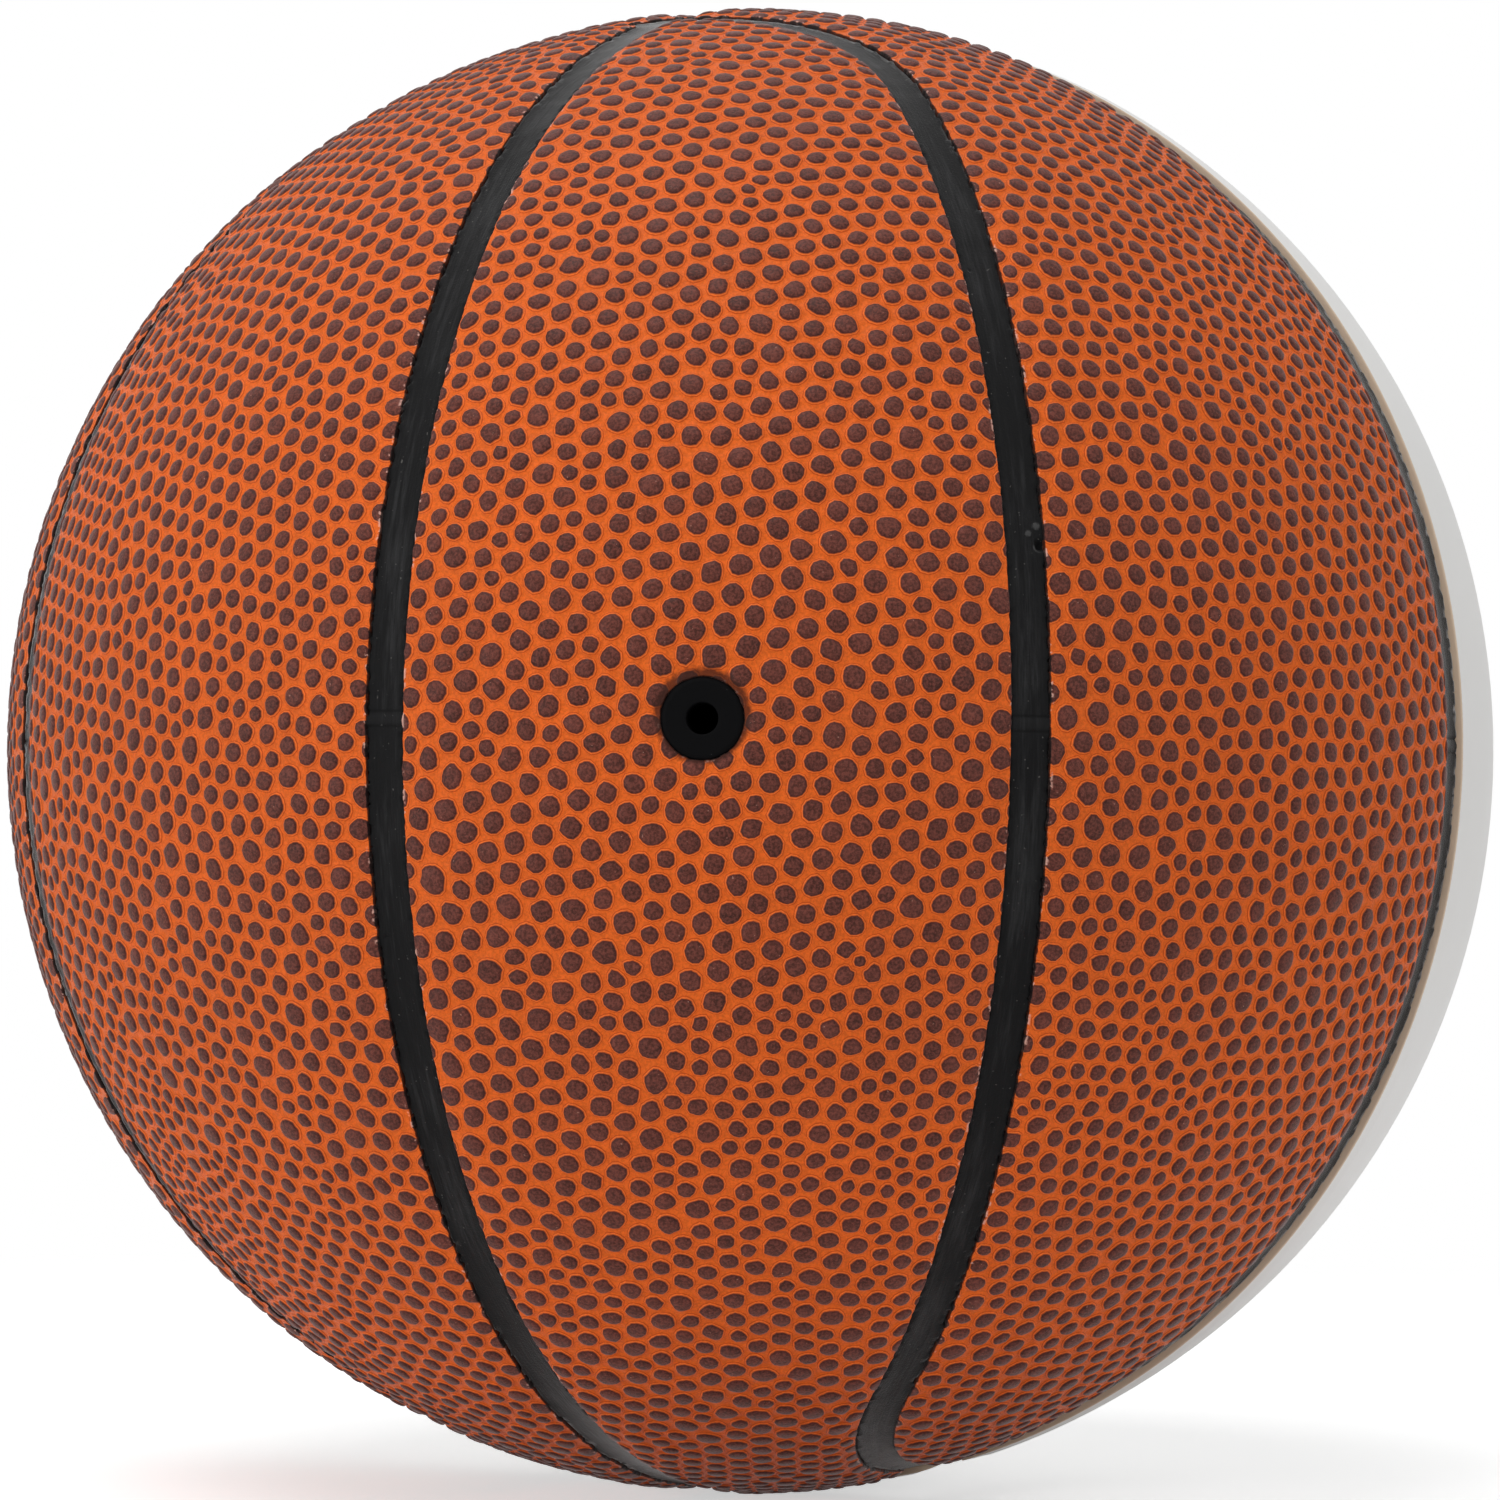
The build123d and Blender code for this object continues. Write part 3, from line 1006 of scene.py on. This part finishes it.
def valve_core_mesh(sizes):
    """The valve plug: a round head with the needle hole, and a stem below it."""
    face = sizes.valve_face_radius / MM
    needle = 1.65
    head = 4.3
    stem = 3.0
    head_foot = 87.277
    stem_end = 72.277
    outline = (
        (0.0, 75.85), (needle, 77.5), (needle, face - 0.5), (needle, face - 0.12), (1.72, face - 0.03),
        (1.82, face), (2.2, face), (3.7, face), (3.95, face), (head, face - 0.35), (head, 87.6),
        (head, head_foot), (stem, head_foot), (stem, stem_end), (0.0, stem_end))
    steps = 96
    turns = [Matrix.Rotation(math.tau * step / steps, 3, "Y") for step in range(steps)]
    bm = bmesh.new()
    rings = []
    for reach, out in outline:
        place = Vector((reach, -out, 0)) * MM
        rings.append([bm.verts.new(turn @ place) for turn in turns])
    for inner, outer in zip(rings, rings[1:]):
        for step in range(steps):
            bm.faces.new((inner[step - 1], inner[step], outer[step], outer[step - 1]))
    bmesh.ops.remove_doubles(bm, verts=bm.verts[:], dist=0.001 * MM)
    bmesh.ops.recalc_face_normals(bm, faces=bm.faces[:])

    def on_ring(vert, reach, out):
        off_axis = math.hypot(vert.co.x, vert.co.z)
        return abs(off_axis - reach * MM) < 0.01 * MM and abs(vert.co.y + out * MM) < 0.01 * MM

    for reach, out, size in ((3.95, face, 0.2), (head, face - 0.35, 0.2), (stem, stem_end, 1.2)):
        ring = [edge for edge in bm.edges if all(on_ring(vert, reach, out) for vert in edge.verts)]
        bmesh.ops.bevel(
            bm, geom=ring, offset=size * MM, offset_type="OFFSET", affect="EDGES", segments=4,
            profile=0.5, material=-1)
    return bm


class BALL_OT_pebbled_panels(bpy.types.Operator):
    """Build the four pebbled cover panels"""

    bl_idname = "ball.pebbled_panels"
    bl_label = "Pebbled Panels"

    def execute(self, context):
        sizes = context.scene.ball_sizes

        def build(number, node):
            return pebbled_panel(sizes, random.Random(FIRST_SEED + number), node == "pebbled_panel_valve")

        add_panels(sizes, "pebbled", pebbled_cover_finish(context.scene.ball_colours), build)
        return {"FINISHED"}


class BALL_OT_smooth_panels(bpy.types.Operator):
    """Build the four smooth cover panels"""

    bl_idname = "ball.smooth_panels"
    bl_label = "Smooth Panels"

    def execute(self, context):
        sizes = context.scene.ball_sizes

        def build(number, node):
            return smooth_panel(sizes)

        add_panels(sizes, "smooth", smooth_cover_finish(context.scene.ball_colours), build)
        return {"FINISHED"}


class BALL_OT_ribbed_carcass(bpy.types.Operator):
    """Build the rubber shell whose ribs fill the seams"""

    bl_idname = "ball.ribbed_carcass"
    bl_label = "Ribbed Carcass"

    def execute(self, context):
        material = rib_rubber_finish(context.scene.ball_colours)
        bm = ribbed_carcass(context.scene.ball_sizes)
        add_piece("ribbed_carcass", bm, material, "ball", "carcass")
        return {"FINISHED"}


class BALL_OT_valve(bpy.types.Operator):
    """Build the valve plug"""

    bl_idname = "ball.valve"
    bl_label = "Valve"

    def execute(self, context):
        material = plain_rubber_finish("valve_rubber", context.scene.ball_colours.valve_black)
        bm = valve_core_mesh(context.scene.ball_sizes)
        add_piece("valve_plug", bm, material, "valve_core", "valve_core")
        return {"FINISHED"}


class BALL_OT_inner_layers(bpy.types.Operator):
    """Give the hidden layers of the wall their finishes"""

    bl_idname = "ball.inner_layers"
    bl_label = "Inner Layers"

    def execute(self, context):
        colours = context.scene.ball_colours
        finishes = {
            "thread_winding": thread_winding_finish(colours),
            "bladder": plain_rubber_finish("bladder_butyl", colours.butyl_black),
            "valve_housing": plain_rubber_finish("housing_rubber", colours.valve_black),
        }
        for node, material in finishes.items():
            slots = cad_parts[node].data.materials
            slots.clear()
            slots.append(material)
        return {"FINISHED"}


class BALL_OT_stage(bpy.types.Operator):
    """Build the floor, the lights, the background and the camera"""

    bl_idname = "ball.stage"
    bl_label = "Stage"

    def execute(self, context):
        scene = context.scene
        scene.view_settings.view_transform = "Standard"
        self.make_floor(scene)
        self.make_world(scene)
        self.make_lights(scene)
        self.make_camera(scene)
        return {"FINISHED"}

    def make_floor(self, scene):
        finish = Finish(bpy.data.materials.new("studio_floor"))
        place = finish.place()
        speckle = finish.grain(place, 90)
        coloured = finish.shaded(scene.ball_colours.floor_white, 0.99 + speckle * 0.02)
        matt = finish.add("ShaderNodeBsdfDiffuse", None, {"Color": coloured})
        glow = finish.add("ShaderNodeEmission", None, {"Strength": scene.studio.floor_glow})
        lifted = finish.add("ShaderNodeAddShader", None, {0: matt, 1: glow})
        backdrop = finish.add("ShaderNodeEmission", None, {"Strength": 1})
        seen = finish.seen_directly()
        away = finish.add("ShaderNodeVectorMath", {"operation": "LENGTH"}, {0: place}, output="Value")
        shown = finish.mixed(matt, lifted, seen)
        shown = finish.mixed(shown, backdrop, seen * finish.ease(away, FLOOR_FADE_START, FLOOR_FADE_END))
        finish.add("ShaderNodeOutputMaterial", None, {"Surface": shown})
        bm = bmesh.new()
        bmesh.ops.create_grid(bm, x_segments=8, y_segments=8, size=4)
        bmesh.ops.translate(bm, verts=bm.verts[:], vec=(0, 0, -scene.ball_sizes.ball_radius))
        mesh = bpy.data.meshes.new("studio_floor")
        bm.to_mesh(mesh)
        bm.free()
        mesh.materials.append(finish.block)
        floor = bpy.data.objects.new("studio_floor", mesh)
        scene.collection.objects.link(floor)

    def make_world(self, scene):
        scene.world = bpy.data.worlds.new("studio_world")
        finish = Finish(scene.world)
        white = (1, 1, 1)
        light = finish.add(
            "ShaderNodeBackground", None, {"Color": white, "Strength": scene.studio.sky_light})
        backdrop = finish.add("ShaderNodeBackground", None, {"Color": white, "Strength": 1})
        shown = finish.mixed(light, backdrop, finish.seen_directly())
        finish.add("ShaderNodeOutputWorld", None, {"Surface": shown})

    def make_lights(self, scene):
        lamps = (
            ("softbox_left", (-1.0, -0.75, 0.1), 0.9, 0.36, scene.studio.left_power),
            ("softbox_right", (0.9, -0.9, 0.35), 0.9, 0.36, scene.studio.right_power),
            ("softbox_top", (-0.2, -0.35, 1.1), 0.9, 0.9, scene.studio.top_power),
        )
        for name, place, width, height, watts in lamps:
            data = bpy.data.lights.new(name, "AREA")
            data.shape = "RECTANGLE"
            data.size = width
            data.size_y = height
            data.energy = watts
            lamp = bpy.data.objects.new(name, data)
            lamp.location = place
            lamp.rotation_euler = (-Vector(place)).to_track_quat("-Z", "Y").to_euler()
            scene.collection.objects.link(lamp)

    def make_camera(self, scene):
        studio = scene.studio
        data = bpy.data.cameras.new("camera")
        data.sensor_width = SENSOR_WIDTH
        data.lens = SENSOR_WIDTH * studio.focal_share
        data.shift_y = studio.lift
        camera = bpy.data.objects.new("camera", data)
        level = math.cos(studio.camera_rise)
        back = Vector((
            math.sin(studio.camera_turn) * level, -math.cos(studio.camera_turn) * level,
            math.sin(studio.camera_rise)))
        right = Vector((0, 0, 1)).cross(back).normalized()
        up = back.cross(right)
        up = up * math.cos(studio.camera_roll) + right * math.sin(studio.camera_roll)
        right = up.cross(back)
        turn = Matrix((right, up, back)).transposed()
        camera.matrix_world = Matrix.Translation(back * studio.camera_distance) @ turn.to_4x4()
        scene.collection.objects.link(camera)
        scene.camera = camera


class VIEW3D_PT_ball(bpy.types.Panel):
    """Lists the steps that dress the ball"""

    bl_label = "Basketball"
    bl_space_type = "VIEW_3D"
    bl_region_type = "UI"
    bl_category = "Basketball"

    def draw(self, context):
        for operator in OPERATORS:
            self.layout.operator(operator.bl_idname)


OPERATORS = (
    BALL_OT_pebbled_panels,
    BALL_OT_smooth_panels,
    BALL_OT_ribbed_carcass,
    BALL_OT_valve,
    BALL_OT_inner_layers,
    BALL_OT_stage,
)
CLASSES = (BallSizes, BallColours, StudioSettings, *OPERATORS, VIEW3D_PT_ball)


def register():
    for item in CLASSES:
        bpy.utils.register_class(item)
    bpy.types.Scene.ball_sizes = bpy.props.PointerProperty(type=BallSizes)
    bpy.types.Scene.ball_colours = bpy.props.PointerProperty(type=BallColours)
    bpy.types.Scene.studio = bpy.props.PointerProperty(type=StudioSettings)


def unregister():
    del bpy.types.Scene.studio
    del bpy.types.Scene.ball_colours
    del bpy.types.Scene.ball_sizes
    for item in reversed(CLASSES):
        bpy.utils.unregister_class(item)


def main():
    register()
    bpy.ops.ball.pebbled_panels()
    bpy.ops.ball.smooth_panels()
    bpy.ops.ball.ribbed_carcass()
    bpy.ops.ball.valve()
    bpy.ops.ball.inner_layers()
    bpy.ops.ball.stage()


if __name__ == "__main__":
    main()
